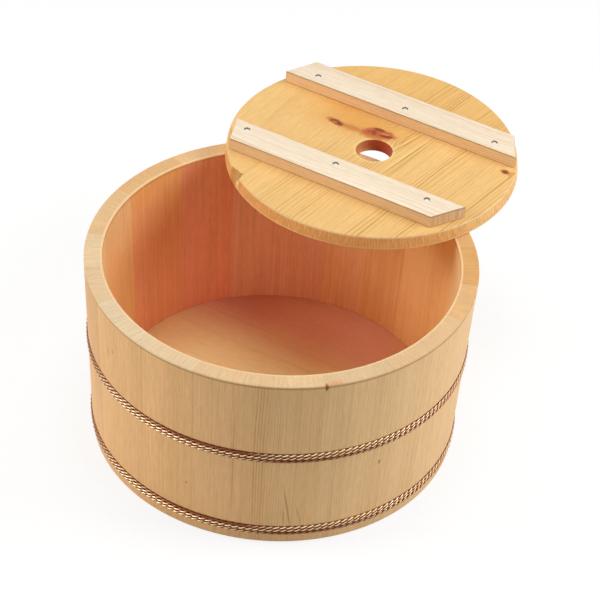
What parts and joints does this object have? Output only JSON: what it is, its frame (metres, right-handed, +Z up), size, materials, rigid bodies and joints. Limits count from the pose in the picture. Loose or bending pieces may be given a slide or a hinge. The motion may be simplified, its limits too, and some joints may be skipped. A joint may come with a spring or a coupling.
{
  "type": "wooden ice tub",
  "caption": "Round coopered wooden tub with twisted copper wire hoops and a raised bottom, and a round drain board with a finger hole that stands on two battens inside it.",
  "frame": {"origin": "under the middle of the whole object's box, on the surface that the tub stands on", "axes": "+Z up, +X along the battens of the drain board, +Y from the tub towards the overhanging side of the drain board"},
  "size_m": [0.2998, 0.414, 0.184],
  "materials": {
    "stave_wood": "planed, unfinished straight-grained softwood",
    "bottom_wood": "planed, unfinished softwood",
    "board_wood": "planed, unfinished knotty softwood",
    "batten_wood": "planed, unfinished pale softwood",
    "bamboo": "split bamboo",
    "copper_wire": "twisted copper wire, lightly browned",
    "nail_steel": "plain bright steel"
  },
  "bodies": {
    "tub": {"stave_01": "stave_wood", "stave_02": "stave_wood", "stave_03": "stave_wood", "stave_04": "stave_wood", "stave_05": "stave_wood", "stave_06": "stave_wood", "stave_07": "stave_wood", "stave_08": "stave_wood", "stave_09": "stave_wood", "stave_10": "stave_wood", "stave_11": "stave_wood", "stave_12": "stave_wood", "stave_13": "stave_wood", "stave_14": "stave_wood", "stave_15": "stave_wood", "stave_16": "stave_wood", "stave_17": "stave_wood", "stave_18": "stave_wood", "stave_19": "stave_wood", "stave_20": "stave_wood", "bottom_plank_1": "bottom_wood", "bottom_plank_2": "bottom_wood", "bottom_plank_3": "bottom_wood", "bottom_peg_1": "bamboo", "bottom_peg_2": "bamboo", "bottom_peg_3": "bamboo", "bottom_peg_4": "bamboo", "upper_hoop_ring_1": "copper_wire", "upper_hoop_ring_2": "copper_wire", "upper_hoop_ring_3": "copper_wire", "lower_hoop_ring_1": "copper_wire", "lower_hoop_ring_2": "copper_wire", "lower_hoop_ring_3": "copper_wire"},
    "drain_board": {"board_plank_1": "board_wood", "board_plank_2": "board_wood", "board_plank_3": "board_wood", "board_peg_1": "bamboo", "board_peg_2": "bamboo", "board_peg_3": "bamboo", "board_peg_4": "bamboo", "far_batten": "batten_wood", "far_batten_nail_1": "nail_steel", "far_batten_nail_2": "nail_steel", "far_batten_nail_3": "nail_steel", "near_batten": "batten_wood", "near_batten_nail_1": "nail_steel", "near_batten_nail_2": "nail_steel", "near_batten_nail_3": "nail_steel"}
  },
  "joints": [
    {"name": "board_lift", "type": "slide", "parent": "tub", "child": "drain_board", "axis": [0, 0, 1], "range_m": [0, 0.2]}
  ]
}
